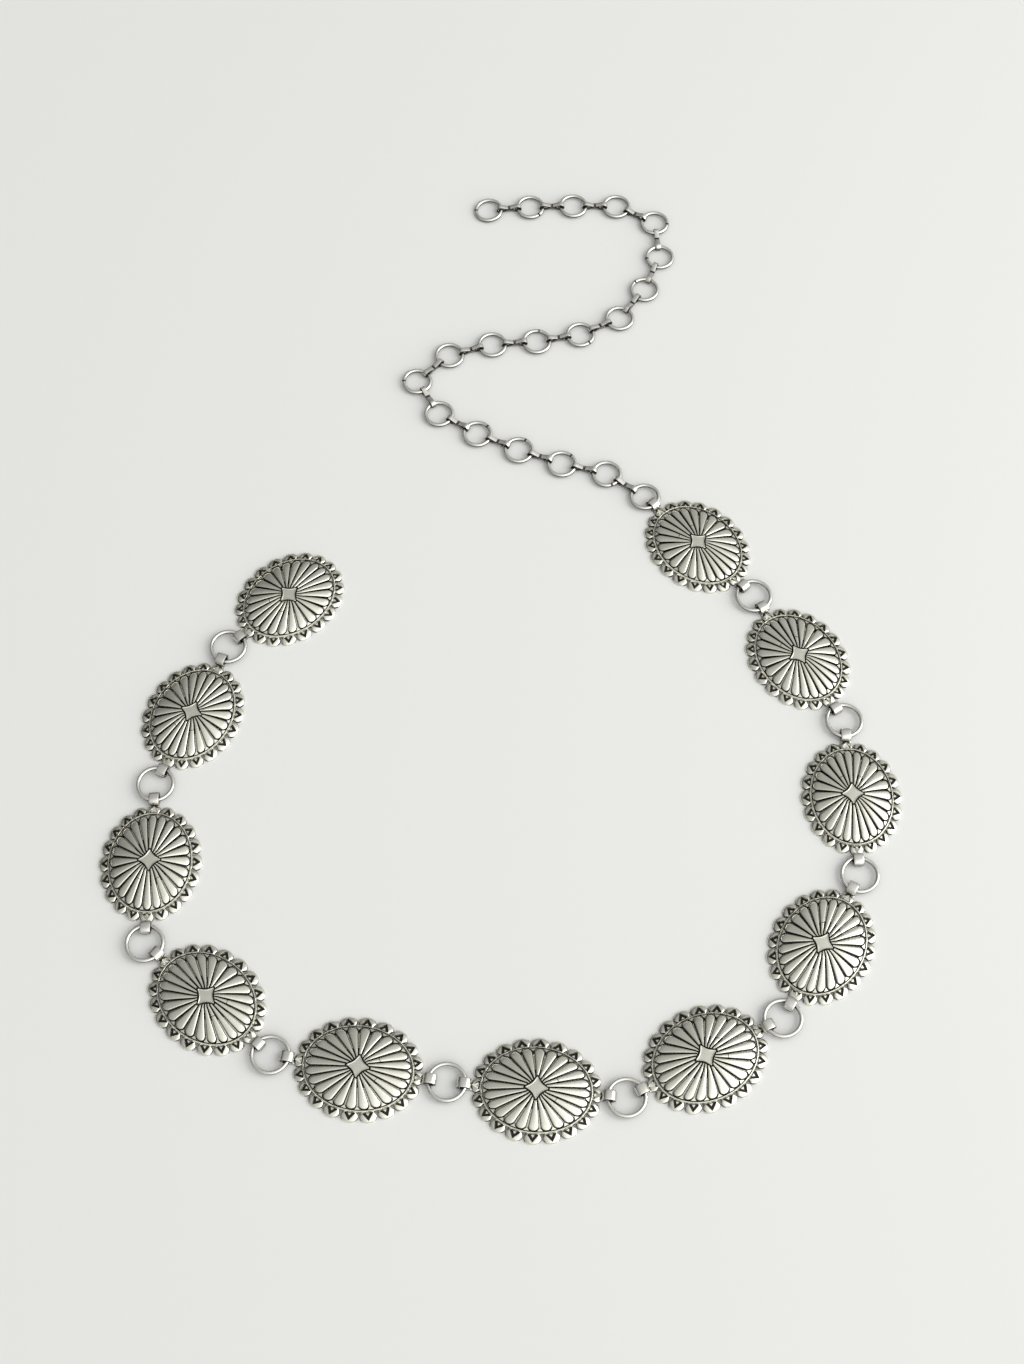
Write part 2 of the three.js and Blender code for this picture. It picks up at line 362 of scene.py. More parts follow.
@dataclass(frozen=True)
class Sizes:
    """The chain's driving sizes, in millimetres, as the frame has them."""

    length: float = 48.0
    width: float = 39.2
    wire: float = 1.6
    link_gap: float = 0.3
    joining_ring: float = 15.2
    extender_ring: float = 13.0
    bail_strap: float = 0.8
    bail_eye: float = 3.4
    ring_standoff: float = 1.65
    link_span: float = 7.9
    link_strip: float = 0.6
    loose_play: float = 0.45

    @property
    def eye_radius(self) -> float:
        """Inside radius of an eye that holds a ring's wire."""
        return self.wire / 2 + self.link_gap

    @property
    def seat(self) -> float:
        """From a medallion's middle to the wire that its bail holds."""
        return self.length / 2 + self.ring_standoff

    @property
    def joining_radius(self) -> float:
        """Radius of a joining ring, at the middle of its wire."""
        return (self.joining_ring - self.wire) / 2

    @property
    def extender_radius(self) -> float:
        """Radius of an extender ring, at the middle of its wire."""
        return (self.extender_ring - self.wire) / 2

    @property
    def joining_level(self) -> float:
        """Height of a joining ring's wire, at the middle of a bail."""
        return self.eye_radius + self.bail_strap

    @property
    def link_level(self) -> float:
        """Height of a strip link's middle."""
        return self.eye_radius + self.link_strip

    @property
    def extender_level(self) -> float:
        """Height of an extender ring's wire, on the strips under it."""
        return self.link_strip + self.wire / 2


@dataclass
class Route:
    """The way the chain lies, worked out from its headings and the frame's first ring."""

    sizes: Sizes
    medallion_headings: tuple[float, ...] = (-136, -112, -89, -41, -9, -5, 27, 60, 91, 120, 132)
    link_headings: tuple[float, ...] = (
        144, 165, 159, 155, 148, 120, 45, 17, 5, 11, 27, 54, 68, 95, 151, 179, 182, 185,
    )
    medallions: list[Place] = field(default_factory=list)
    joining_rings: list[Place] = field(default_factory=list)
    extender_rings: list[Place] = field(default_factory=list)
    links: list[Place] = field(default_factory=list)

    def __post_init__(self) -> None:
        """Walk the chain from its hook end to its loose end."""
        low, high = (Vector(corner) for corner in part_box("joining_ring_01"))
        first = self.medallion_headings[0]
        hub = ((low + high) / 2).to_2d().to_3d()
        seat = self.step(hub, first, -self.sizes.joining_radius - 2 * self.sizes.seat)
        seat = self.lay_medallions(seat)
        self.lay_extender(seat)

    @staticmethod
    def step(start: Vector, heading: float, distance: float) -> Vector:
        """Go some millimetres along a heading.

        Args:
            start: Where the step starts, in metres.
            heading: In degrees, from +X towards +Y.
            distance: In millimetres.

        Returns:
            Where it ends, in metres.
        """
        angle = math.radians(heading)
        return start + Vector((math.cos(angle), math.sin(angle), 0)) * distance * MM

    @staticmethod
    def at_level(place: Vector, level: float) -> Vector:
        """A place at a height in millimetres."""
        return Vector((place.x, place.y, level * MM))

    def lay_medallions(self, seat: Vector) -> Vector:
        """Place the medallions and their rings.

        Args:
            seat: Where the first medallion's free end would hold a ring.

        Returns:
            Where the last medallion's bail holds the extender.
        """
        sizes = self.sizes
        for i, heading in enumerate(self.medallion_headings):
            middle = self.step(seat, heading, sizes.seat)
            self.medallions.append(Place(middle, heading))
            seat = self.step(middle, heading, sizes.seat)
            if i + 1 < len(self.medallion_headings):
                hub = self.step(seat, heading, sizes.joining_radius)
                level = self.at_level(hub, sizes.joining_level)
                self.joining_rings.append(Place(level, heading))
                seat = self.step(hub, self.medallion_headings[i + 1], sizes.joining_radius)
        return seat

    def leaning(self, near: Vector, heading: float, high: float, low: float) -> Place:
        """Place a ring that hangs in one eye and rests lower on its far side.

        Args:
            near: Where the eye holds its wire.
            heading: The way it lies from there.
            high: Height of the wire in the eye.
            low: Height of the wire on the far side.

        Returns:
            The ring's place.
        """
        radius = self.sizes.extender_radius
        lean = math.asin((high - low) / (2 * radius))
        middle = self.step(near, heading, radius * math.cos(lean))
        return Place(self.at_level(middle, (high + low) / 2), heading, lean)

    def lay_extender(self, seat: Vector) -> None:
        """Place the extender's rings and links, from the last medallion to the loose end.

        Args:
            seat: Where the last medallion's bail holds the first ring.
        """
        sizes = self.sizes
        last = self.medallion_headings[-1]
        ring = self.leaning(seat, last, sizes.joining_level, sizes.extender_level)
        self.extender_rings.append(ring)
        for i, heading in enumerate(self.link_headings):
            reach = sizes.extender_radius + sizes.link_span / 2
            link = self.step(ring.middle, heading, reach)
            self.links.append(Place(self.at_level(link, sizes.link_level), heading))
            if i + 1 < len(self.link_headings):
                middle = self.step(link, heading, reach)
                ring = Place(self.at_level(middle, sizes.extender_level), heading)
            else:
                near = self.step(link, heading, sizes.link_span / 2 - sizes.loose_play)
                ring = self.leaning(near, heading, sizes.link_level, sizes.wire / 2)
            self.extender_rings.append(ring)


@dataclass(frozen=True)
class Silver:
    """A silver-tone metal with darkened recesses and painted shade, worn bright where hands rub it.

    Scales are per metre, and depths are in metres.
    """

    name: str
    bright: tuple[float, float, float]
    dark: tuple[float, float, float]
    roughness: float
    grain: float
    tarnish: float
    dulling: float = 0.8
    cloud_scale: float = 220.0
    speckle_scale: float = 2600.0
    scratch_scale: tuple[float, float, float] = (260.0, 4200.0, 1400.0)
    scratch_turn: tuple[float, float, float] = (0.3, 0.2, 0.9)
    patina_and_shade_edge: tuple[float, float] = (0.35, 0.85)
    patina_and_shade_metal: float = 0.35
    gloss_swing: tuple[float, float] = (-0.07, 0.09)
    speckle_depth: float = 0.00006
    scratch_depth: float = 0.00004

    def material(self) -> bpy.types.Material:
        """Make the metal.

        Returns:
            A procedural material that reads Object coordinates and the attribute of patina and painted
            shade.
        """
        material = bpy.data.materials.new(self.name)
        material.use_nodes = True
        nodes = material.node_tree.nodes
        links = material.node_tree.links
        shader = nodes["Principled BSDF"]
        place = nodes.new("ShaderNodeTexCoord").outputs["Object"]

        clouds = self.noise(nodes, links, place, self.cloud_scale, detail=4.0)
        speckle = self.noise(nodes, links, place, self.speckle_scale, detail=3.0)
        scratches = self.scratches(nodes, links, place)

        depth = nodes.new("ShaderNodeMath")
        depth.operation = "MULTIPLY_ADD"
        links.new(speckle, depth.inputs[0])
        depth.inputs[1].default_value = self.tarnish
        # Reads the patina and the painted shade noted on the points.
        patina = nodes.new("ShaderNodeAttribute")
        patina.attribute_name = PATINA_AND_SHADE
        links.new(patina.outputs["Fac"], depth.inputs[2])
        edge = nodes.new("ShaderNodeMapRange")
        edge.interpolation_type = "SMOOTHSTEP"
        edge.inputs["From Min"].default_value = self.patina_and_shade_edge[0]
        edge.inputs["From Max"].default_value = self.patina_and_shade_edge[1]
        links.new(depth.outputs[0], edge.inputs["Value"])

        metal = nodes.new("ShaderNodeMix")
        metal.data_type = "RGBA"
        links.new(clouds, metal.inputs["Factor"])
        metal.inputs["A"].default_value = (*(self.dulling * c for c in self.bright), 1)
        metal.inputs["B"].default_value = (*self.bright, 1)
        colour = nodes.new("ShaderNodeMix")
        colour.data_type = "RGBA"
        links.new(edge.outputs["Result"], colour.inputs["Factor"])
        links.new(metal.outputs["Result"], colour.inputs["A"])
        colour.inputs["B"].default_value = (*self.dark, 1)
        links.new(colour.outputs["Result"], shader.inputs["Base Color"])

        gloss = nodes.new("ShaderNodeMapRange")
        gloss.inputs["To Min"].default_value = self.roughness + self.gloss_swing[0]
        gloss.inputs["To Max"].default_value = self.roughness + self.gloss_swing[1]
        links.new(scratches, gloss.inputs["Value"])
        links.new(gloss.outputs["Result"], shader.inputs["Roughness"])

        metalness = nodes.new("ShaderNodeMapRange")
        metalness.inputs["To Min"].default_value = 1.0
        metalness.inputs["To Max"].default_value = self.patina_and_shade_metal
        links.new(edge.outputs["Result"], metalness.inputs["Value"])
        links.new(metalness.outputs["Result"], shader.inputs["Metallic"])

        fine = nodes.new("ShaderNodeBump")
        fine.inputs["Strength"].default_value = self.grain
        fine.inputs["Distance"].default_value = self.speckle_depth
        links.new(speckle, fine.inputs["Height"])
        lines = nodes.new("ShaderNodeBump")
        lines.inputs["Strength"].default_value = self.grain
        lines.inputs["Distance"].default_value = self.scratch_depth
        links.new(scratches, lines.inputs["Height"])
        links.new(fine.outputs["Normal"], lines.inputs["Normal"])
        links.new(lines.outputs["Normal"], shader.inputs["Normal"])
        return material

    @staticmethod
    def noise(
        nodes: bpy.types.Nodes,
        links: bpy.types.NodeLinks,
        place: bpy.types.NodeSocket,
        scale: float,
        detail: float,
    ) -> bpy.types.NodeSocket:
        """Add a noise.

        Args:
            nodes: The material's nodes.
            links: The material's links.
            place: The coordinates that it reads.
            scale: How fine it is, per metre.
            detail: How many finer layers it has.

        Returns:
            Its value, from 0 to 1.
        """
        noise = nodes.new("ShaderNodeTexNoise")
        noise.inputs["Scale"].default_value = scale
        noise.inputs["Detail"].default_value = detail
        links.new(place, noise.inputs["Vector"])
        return noise.outputs["Fac"]

    def scratches(
        self, nodes: bpy.types.Nodes, links: bpy.types.NodeLinks, place: bpy.types.NodeSocket
    ) -> bpy.types.NodeSocket:
        """Add fine handling scratches that run mostly one way.

        Args:
            nodes: The material's nodes.
            links: The material's links.
            place: The coordinates that they read.

        Returns:
            Their value, from 0 to 1.
        """
        stretch = nodes.new("ShaderNodeMapping")
        stretch.inputs["Rotation"].default_value = self.scratch_turn
        stretch.inputs["Scale"].default_value = self.scratch_scale
        links.new(place, stretch.inputs["Vector"])
        return self.noise(nodes, links, stretch.outputs["Vector"], scale=1.0, detail=2.0)


@dataclass(frozen=True)
class Block:
    """A triangular block that points outwards from the medallion's middle.

    Its foot and its head run from its middle to a corner of its underside and of its top.
    """

    name: str
    middle: float
    foot: float
    head: float
    high: float
    low: float = 0.0
    spread: float = 1.25

    def build(self) -> bpy.types.Object:
        """Raise the block from its underside.

        Returns:
            A closed block.
        """
        block = Bench.disc(self.name, 3, self.foot, self.low)
        change = self.head / self.foot
        with Bench.editing(block):
            Bench.raise_up(self.high - self.low)
            Bench.scale(change, change)
            Bench.face_out()
            Bench.scale(1, self.spread)
            bpy.ops.transform.translate(value=(self.middle, 0, 0))
        return block


@dataclass
class Casting:
    """A cast oval medallion, worked as a round flat blank and then pressed to its oval dome.

    On the blank, r runs from 0 at the middle to half the length at the scallops' tips, and z
    runs from 0 at the ground of the relief to the worked surface at the relief's height.
    A patina pair holds the height up to which a piece is black and that from which it is
    bright. Tiers are rows of a height and how far an outline is drawn in there.
    """

    sizes: Sizes
    crown: float = 4.5
    field_height: float = 1.8
    rim_edge: float = 1.1
    rim_depth: float = 3.9
    relief: float = 1.1

    star_reach: float = 4.35
    star_waist: float = 2.3
    star_hollow: float = 1.1
    star_point: float = 0.35
    star_foot: float = -0.2
    star_rise: float = 0.2
    star_taper: float = 0.96
    star_border: float = 0.2
    star_step: float = 0.12
    star_sink: float = 0.1
    moat: float = 0.7
    moat_floor: float = 0.12
    moat_top: float = 2.0

    petals: int = 24
    petal_root: float = 2.6
    petal_shoulder: float = 17.1
    petal_root_groove: float = 0.3
    petal_groove: float = 0.75
    petal_clearance: float = 0.85
    petal_foot: float = -0.35
    petal_roundness: float = 0.98
    petal_rows: int = 9
    petal_tiers: tuple[tuple[float, float], ...] = ((0.55, 0.0), (0.82, 0.12), (1.0, 0.36), (1.1, 0.8))
    petal_patina: tuple[float, float] = (0.62, 1.1)

    flawed_petals: tuple[int, ...] = (-2, 2)
    flaw_place: float = 8.3
    flaw_width: float = 0.25
    flaw_length: float = 2.0
    flaw_floor: float = 0.6
    flaw_height: float = 1.0

    spandrel: float = 1.15
    spandrel_head: float = 0.8
    spandrel_setback: float = 0.4
    spandrel_height: float = 0.98

    wire: float = 0.38
    wire_rise: float = 0.4
    wire_foot: float = 0.1
    wire_patina: tuple[float, float] = (0.5, 0.9)

    scallops: int = 20
    scallop_swell: float = 21.6
    scallop_gap: float = 0.14
    scallop_standoff: float = 0.05
    scallop_tiers: tuple[tuple[float, float], ...] = ((0.5, 0.0), (0.8, 0.25), (1.0, 0.75), (1.1, 1.5))
    scallop_patina: tuple[float, float] = (0.35, 0.85)
    worn_tip: tuple[float, float] = (22.8, 23.5)
    tip_wear: float = 0.75
    wedge: float = 1.9
    pocket: Block = Block("pocket", middle=21.5, foot=1.5, head=2.3, high=1.3, low=0.2)
    bead: Block = Block("bead", middle=21.1, foot=1.0, head=0.6, high=0.7)
    bead_patina: tuple[float, float] = (0.2, 0.6)

    notch: float = 1.9
    wall: float = 0.8
    land: float = 5.4
    underside: float = -10.0
    # How dark the painted shade on the medallion's back is.
    back_painted_shade: float = 0.3
    hollow_rings: tuple[float, ...] = (17.2, 15.0, 12.0, 9.0, 6.0, 3.0)
    ground_rings: tuple[float, ...] = (21.0, 19.9, 18.0, 16.0, 14.0, 12.0, 10.0, 8.0, 6.0, 4.0, 2.0)

    @property
    def half(self) -> float:
        """Half the medallion's length."""
        return self.sizes.length / 2

    @property
    def wire_radius(self) -> float:
        """Radius of the raised wire between dome and rim, on the blank."""
        return self.half - self.rim_depth

    @property
    def tip(self) -> float:
        """Where the petals end on the blank."""
        return self.wire_radius - self.petal_clearance

    def surface(self, r: float) -> float:
        """Height of the worked surface over the table.

        Args:
            r: The place on the blank.

        Returns:
            The dome's height inside the wire, and the sloping rim's outside it.
        """
        if r < self.wire_radius:
            rise = self.crown - self.field_height
            return self.field_height + rise * (1 - (r / self.wire_radius) ** 2)
        share = (r - self.wire_radius) / self.rim_depth
        return self.field_height + (self.rim_edge - self.field_height) * share

    def half_width(self, r: float) -> float:
        """The oval's half width where its half length is r.

        Args:
            r: The place on the blank.

        Returns:
            r itself round the star, drawn in outside it to keep the rim's depth even.
        """
        squeeze = (self.sizes.length - self.sizes.width) / 2
        start = self.star_reach
        if r < start:
            return r
        return r - squeeze * min((r - start) / (self.wire_radius - start), 1.0)

    def base(self) -> bpy.types.Object:
        """The ground under the petals, with a hollow back.

        Known fault: its top falls straight from the star to the land's inner edge, with no
        ground under the wire and the rim, and it is not one closed shell.

        Returns:
            The round blank.
        """
        outside = self.half - self.notch
        blank = Bench.disc("base", 120, outside, self.underside)
        with Bench.editing(blank):
            self.draw_in(blank, self.half - self.land, 0.0)
            for r in self.hollow_rings:
                self.draw_in(blank, r, -self.underside - self.wall)
            self.draw_up(blank, outside)
            Bench.face_out()
        # The ground between the reliefs is black with patina; the back gets a painted shade.
        note_patina_and_shade(blank, lambda co, _: 1.0 if co.z > -CLOSE else self.back_painted_shade)
        return blank

    def draw_in(self, blank: bpy.types.Object, r: float, height: float) -> None:
        """Inset the faces round the blank's middle and set their height.

        Known fault: the first extrusion keeps the disc's own face, so two faces are drawn in.

        Args:
            blank: The blank, in edit mode.
            r: The radius that the face is drawn in to.
            height: Its height over the underside.
        """
        shape = bmesh.from_edit_mesh(blank.data)
        face = max(shape.faces, key=lambda f: len(f.verts))
        reach = max(v.co.to_2d().length for v in face.verts)
        level = face.calc_center_median().z - self.underside
        Bench.pick_faces(blank, lambda mid, _: mid.to_2d().length < CLOSE)
        bpy.ops.mesh.extrude_region_move()
        Bench.scale(r / reach, r / reach)
        bpy.ops.transform.translate(value=(0, 0, height - level))

    def draw_up(self, blank: bpy.types.Object, outside: float) -> None:
        """Draw the blank's outer ring up and in under the star, and close it there.

        Known fault: in edge mode only points are picked, so no new ring is left at any step.

        Args:
            blank: The blank, in edit mode.
            outside: Its radius.
        """
        bpy.ops.mesh.select_mode(type="EDGE")
        Bench.pick(blank, lambda co: co.to_2d().length > outside - CLOSE)
        Bench.raise_up(-self.underside)
        reach = outside
        for r in self.ground_rings:
            bpy.ops.mesh.extrude_region_move()
            Bench.scale(r / reach, r / reach)
            reach = r
        bpy.ops.mesh.edge_face_add()

    @staticmethod
    def pillow(
        anchor: float, length: float, half: float, tiers: tuple[tuple[float, float], ...], low: float
    ) -> None:
        """Raise the selected outline to a rounded top.

        Args:
            anchor: Where on X the outline keeps its place as it draws in.
            length: The outline's length from there.
            half: Its half width.
            tiers: Rows of a height and how far the outline is drawn in there.
            low: The outline's own height.
        """
        level, inset = low, 0.0
        for height, drawn in tiers:
            Bench.raise_up(height - level)
            Bench.scale((length - drawn) / (length - inset), (half - drawn) / (half - inset), anchor)
            level, inset = height, drawn

    def petal(self) -> bpy.types.Object:
        """The petals: long pillows with round outer ends, narrow at the star.

        Returns:
            All the petals round the blank, with the star's moat cut through them.
        """
        step = math.pi / self.petals
        root, shoulder, tip = self.petal_root, self.petal_shoulder, self.tip
        half_root = step * root - self.petal_root_groove / 2
        half = step * shoulder - self.petal_groove / 2
        petals = Bench.plate("petal", root, shoulder, 2 * half, self.petal_foot)
        with Bench.editing(petals):
            Bench.pick(petals, lambda co: co.x < root + CLOSE)
            Bench.scale(1, half_root / half, root)
            Bench.pick(petals, lambda co: co.x > shoulder - CLOSE)
            Bench.draw_out(tip - shoulder, 0)
            bpy.ops.mesh.bevel(offset=self.petal_roundness * half, segments=8, affect="VERTICES")
            bpy.ops.mesh.select_all(action="SELECT")
            self.pillow(root, tip - root, half, self.petal_tiers, self.petal_foot)
            for i in range(1, self.petal_rows):
                bpy.ops.mesh.select_all(action="SELECT")
                across = root + (tip - root - half) * i / self.petal_rows
                bpy.ops.mesh.bisect(plane_co=(across, 0, 0), plane_no=(1, 0, 0))
            Bench.face_out()
        Bench.ring_of(petals, self.petals)
        Bench.cut(petals, self.star("moat", self.moat, self.moat_floor, self.moat_top))
        for petal in self.flawed_petals:
            Bench.cut(petals, self.flaw(petal * 2 * step))
        petals = Bench.join(petals, self.spandrels())
        fade_upwards(petals, *self.petal_patina)
        return petals

    def spandrels(self) -> bpy.types.Object:
        """The small raised triangles that fill in between the petals' round ends.

        Returns:
            All the spandrels round the blank.
        """
        middle = self.tip - self.spandrel_setback
        head = self.spandrel_head * self.spandrel
        spandrels = Block("spandrel", middle, self.spandrel, head, self.spandrel_height).build()
        with Bench.editing(spandrels):
            Bench.turn(math.pi, middle)
            Bench.turn(math.pi / self.petals)
        Bench.ring_of(spandrels, self.petals)
        return spandrels

    def flaw(self, angle: float) -> bpy.types.Object:
        """A cutter for the small flaw that the mould left across a petal.

        Args:
            angle: The petal's direction on the blank.

        Returns:
            A thin closed bar.
        """
        far = self.flaw_place + self.flaw_width
        bar = Bench.plate("flaw", self.flaw_place, far, self.flaw_length, self.flaw_floor)
        with Bench.editing(bar):
            Bench.raise_up(self.flaw_height)
            Bench.face_out()
            Bench.turn(-angle)
        return bar

    def star(self, name: str, growth: float, low: float, high: float) -> bpy.types.Object:
        """The four-pointed star with hollow sides.

        Args:
            name: The piece's name.
            growth: How much further than the star it reaches.
            low: Height of its underside.
            high: Height of its top.

        Returns:
            A closed star.
        """
        reach = self.star_reach + growth
        waist = self.star_waist + growth
        star = Bench.disc(name, 8, reach, low)
        with Bench.editing(star):
            Bench.pick(star, lambda co: abs(co.x) > CLOSE and abs(co.y) > CLOSE)
            Bench.scale(waist / reach, waist / reach)
            bpy.ops.mesh.bevel(offset=self.star_hollow, segments=5, affect="VERTICES")
            Bench.pick(star, lambda co: co.to_2d().length > reach - CLOSE)
            bpy.ops.mesh.bevel(offset=self.star_point, segments=3, affect="VERTICES")
            bpy.ops.mesh.select_all(action="SELECT")
            Bench.raise_up(high - low)
            Bench.face_out()
        return star

    def raised_star(self) -> bpy.types.Object:
        """The star with its thin raised border.

        Returns:
            A closed star.
        """
        star = self.star("star", 0.0, self.star_foot, self.relief)
        with Bench.editing(star):
            Bench.pick_faces(star, lambda mid, normal: normal.z > 0.9)
            Bench.raise_up(self.star_rise)
            Bench.scale(self.star_taper, self.star_taper)
            bpy.ops.mesh.inset(thickness=self.star_border, depth=0.0)
            bpy.ops.mesh.inset(thickness=self.star_step, depth=-self.star_sink)
            bpy.ops.mesh.poke()
        note_patina_and_shade(star, lambda co, _: 0.0 if co.z > 0 else 1.0)
        return star

    def oval_wire(self) -> bpy.types.Object:
        """The raised wire between the dome and the rim.

        Returns:
            A closed round wire.
        """
        Bench.clear()
        bpy.ops.mesh.primitive_torus_add(
            major_segments=144,
            minor_segments=10,
            major_radius=self.wire_radius,
            minor_radius=self.wire,
        )
        wire = bpy.context.object
        top = self.relief + self.wire_rise
        with Bench.editing(wire):
            bpy.ops.transform.resize(value=(1, 1, (top + self.wire_foot) / 2 / self.wire))
            bpy.ops.transform.translate(value=(0, 0, (top - self.wire_foot) / 2))
        fade_upwards(wire, *self.wire_patina)
        return wire

    def scallop(self) -> bpy.types.Object:
        """The scallops: round lobes, each with a sunk triangle that holds a small raised one.

        Returns:
            All the scallops round the blank.
        """
        step = math.pi / self.scallops
        near = self.wire_radius + self.scallop_standoff
        swell = self.scallop_swell
        half = step * swell - self.scallop_gap
        lobe = Bench.plate("scallop", near, swell, 2 * half, self.underside)
        with Bench.editing(lobe):
            Bench.pick(lobe, lambda co: co.x < near + CLOSE)
            Bench.scale(1, (step * near - self.wedge / 2) / half, near)
            Bench.pick(lobe, lambda co: co.x > swell - CLOSE)
            self.round_off(self.half - swell)
            bpy.ops.mesh.select_all(action="SELECT")
            self.pillow(near, self.half - near, half, self.scallop_tiers, self.underside)
            Bench.face_out()
        Bench.cut(lobe, self.pocket.build())
        note_patina_and_shade(lobe, self.lobe_shade)
        bead = self.bead.build()
        fade_upwards(bead, *self.bead_patina)
        lobe = Bench.join(lobe, bead)
        Bench.ring_of(lobe, self.scallops)
        return lobe

    def lobe_shade(self, place: Vector, normal: Vector) -> float:
        """Darken what is low on a scallop, less towards its worn tip.

        Args:
            place: A point of the scallop that lies along X.
            normal: Its normal, which makes no difference here.

        Returns:
            0 for bright and 1 for black.
        """
        low = 1 - smooth_step(*self.scallop_patina, place.z)
        return low * (1 - self.tip_wear * smooth_step(*self.worn_tip, place.x))

    @staticmethod
    def round_off(depth: float, steps: int = 6, sweep: float = 76.0) -> None:
        """Extrude the selected edge along X into a round end.

        Args:
            depth: How far the end reaches.
            steps: How many strips it is made of.
            sweep: How much of a quarter turn it makes, in degrees.
        """
        last = math.radians(sweep)
        angles = [last * i / steps for i in range(steps + 1)]
        for before, after in zip(angles, angles[1:]):
            Bench.draw_out(depth * (math.sin(after) - math.sin(before)) / math.sin(last), 0)
            Bench.scale(1, math.cos(after) / math.cos(before))

    def press(self, blank: bpy.types.Object) -> None:
        """Press the blank to the oval dome, with its underside flat on the table.

        Args:
            blank: The whole medallion, worked round and flat.
        """
        for point in blank.data.vertices:
            x, y, z = point.co
            r = math.hypot(x, y)
            if r > 0:
                y *= self.half_width(r) / r
            ground = self.surface(r) - self.relief
            height = 0.0 if z < self.underside / 2 else max(ground + z, 0.0)
            point.co = (x, y, height)

    def build(self) -> bpy.types.Object:
        """Work the whole medallion.

        Returns:
            One piece, in millimetres round the origin, with its length along X.
        """
        parts = (self.base(), self.petal(), self.raised_star(), self.oval_wire(), self.scallop())
        medallion = Bench.join(*parts)
        self.press(medallion)
        return medallion


@dataclass
class Strip:
    """A bent strip of metal: a path in X and Z, given a width and a thickness.

    Each painted shade pair holds the share of a normal at which the painted shade starts and at which
    it is black.
    """

    name: str
    path: list[tuple[float, float]]
    width: float
    thickness: float
    edge: float
    sharp: float = 50.0
    seam: float = 0.0
    crown: float = 0.0
    crown_foot: float = 1.2
    painted_side_shade: tuple[float, float] = (0.6, 0.9)
    painted_under_shade: tuple[float, float] = (-0.4, 0.2)

    @staticmethod
    def arc(
        middle: tuple[float, float], radius: float, start: float, end: float, steps: int
    ) -> list[tuple[float, float]]:
        """Points along an arc.

        Args:
            middle: Its centre in X and Z.
            radius: Its radius.
            start: The first angle in degrees.
            end: The last angle in degrees.
            steps: How many pieces it has.

        Returns:
            The points from the first angle to the last.
        """
        angles = (math.radians(start + (end - start) * i / steps) for i in range(steps + 1))
        x, z = middle
        return [(x + radius * math.cos(a), z + radius * math.sin(a)) for a in angles]

    def build(self) -> bpy.types.Object:
        """Bend the strip along its path.

        Returns:
            A closed strip with softened edges.
        """
        (x, z), (next_x, next_z) = self.path[:2]
        strip = Bench.plate(self.name, x, x + 1, self.width, z)
        with Bench.editing(strip):
            Bench.pick(strip, lambda co: co.x > x + 0.5)
            bpy.ops.transform.translate(value=(next_x - x - 1, 0, next_z - z))
            for (x, z), (next_x, next_z) in zip(self.path[1:], self.path[2:]):
                Bench.draw_out(next_x - x, next_z - z)
            if self.crown:
                self.raise_crown(strip)
        Bench.modify(
            strip, "SOLIDIFY", thickness=self.thickness, offset=0.0, use_even_offset=True
        )
        Bench.soften(strip, self.edge, self.sharp)
        with Bench.editing(strip):
            Bench.face_out()
        note_patina_and_shade(strip, self.shade)
        return strip

    def raise_crown(self, strip: bpy.types.Object, lines: int = 3) -> None:
        """Round the strip's upper part across its width.

        Args:
            strip: The open strip, in edit mode.
            lines: How many lines each half is divided by.
        """
        Bench.face_out()
        for i in range(1 - lines, lines):
            bpy.ops.mesh.select_all(action="SELECT")
            y = i * self.width / 2 / lines
            bpy.ops.mesh.bisect(plane_co=(0, y, 0), plane_no=(0, 1, 0))
        for i in range(lines):
            y = i * self.width / 2 / lines
            Bench.pick(strip, lambda co: abs(abs(co.y) - y) < CLOSE and co.z > self.crown_foot)
            bpy.ops.transform.shrink_fatten(value=self.crown * (1 - (i / lines) ** 2))

    def shade(self, place: Vector, normal: Vector) -> float:
        """Paint shade on a strip's side edges and on what faces down, and darken its seam with patina.

        Args:
            place: A point of the strip.
            normal: Its normal.

        Returns:
            0 for bright and 1 for black.
        """
        # Painted shade on the side edges and on what faces down; the seam is real patina.
        side = smooth_step(*self.painted_side_shade, abs(normal.y))
        below = smooth_step(*self.painted_under_shade, -normal.z)
        seam = 1.0 if abs(place.x) < self.seam else 0.0
        return max(side, below, seam)


@dataclass
class Bail:
    """The strap soldered under a medallion's end, looped over a ring's wire."""

    sizes: Sizes
    width: float = 3.8
    tab: float = 3.0
    crown: float = 0.14
    edge: float = 0.16
    wrap: float = 205.0

    def build(self, turned: bool) -> bpy.types.Object:
        """Bend the strap.

        Args:
            turned: Whether it stands at the medallion's other end.

        Returns:
            A closed strap with an open seam at its back.
        """
        sizes = self.sizes
        strap = sizes.bail_strap
        level = sizes.joining_level
        radius = sizes.eye_radius + strap / 2
        back = sizes.seat
        front = sizes.seat - 2 * sizes.eye_radius + sizes.bail_eye
        path = [(sizes.length / 2 - self.tab, strap / 2)]
        path += Strip.arc((front, level), radius, -90, 90, 10)
        path += Strip.arc((back, level), radius, 90, self.wrap, 9)
        bail = Strip("bail", path, self.width, strap, self.edge, crown=self.crown).build()
        if turned:
            with Bench.editing(bail):
                Bench.turn(math.pi)
        return bail


@dataclass
class Hook:
    """The plain hook soldered inside the first medallion."""

    strip: float = 0.7
    width: float = 4.0
    length: float = 9.5
    bend: float = 7.5
    clearance: float = 0.1
    top: float = 2.5
    turn: float = 0.6
    edge: float = 0.12

    def build(self) -> bpy.types.Object:
        """Bend the hook.

        Returns:
            A closed strip from the dome's roof down and along under it.
        """
        upright = self.strip / 2 - self.bend
        tongue = self.clearance + self.strip / 2
        path = [(upright, self.top)]
        path += Strip.arc((upright + self.turn, tongue + self.turn), self.turn, 180, 270, 5)
        path += [(self.length - self.bend, tongue)]
        return Strip("hook", path, self.width, self.strip, self.edge).build()


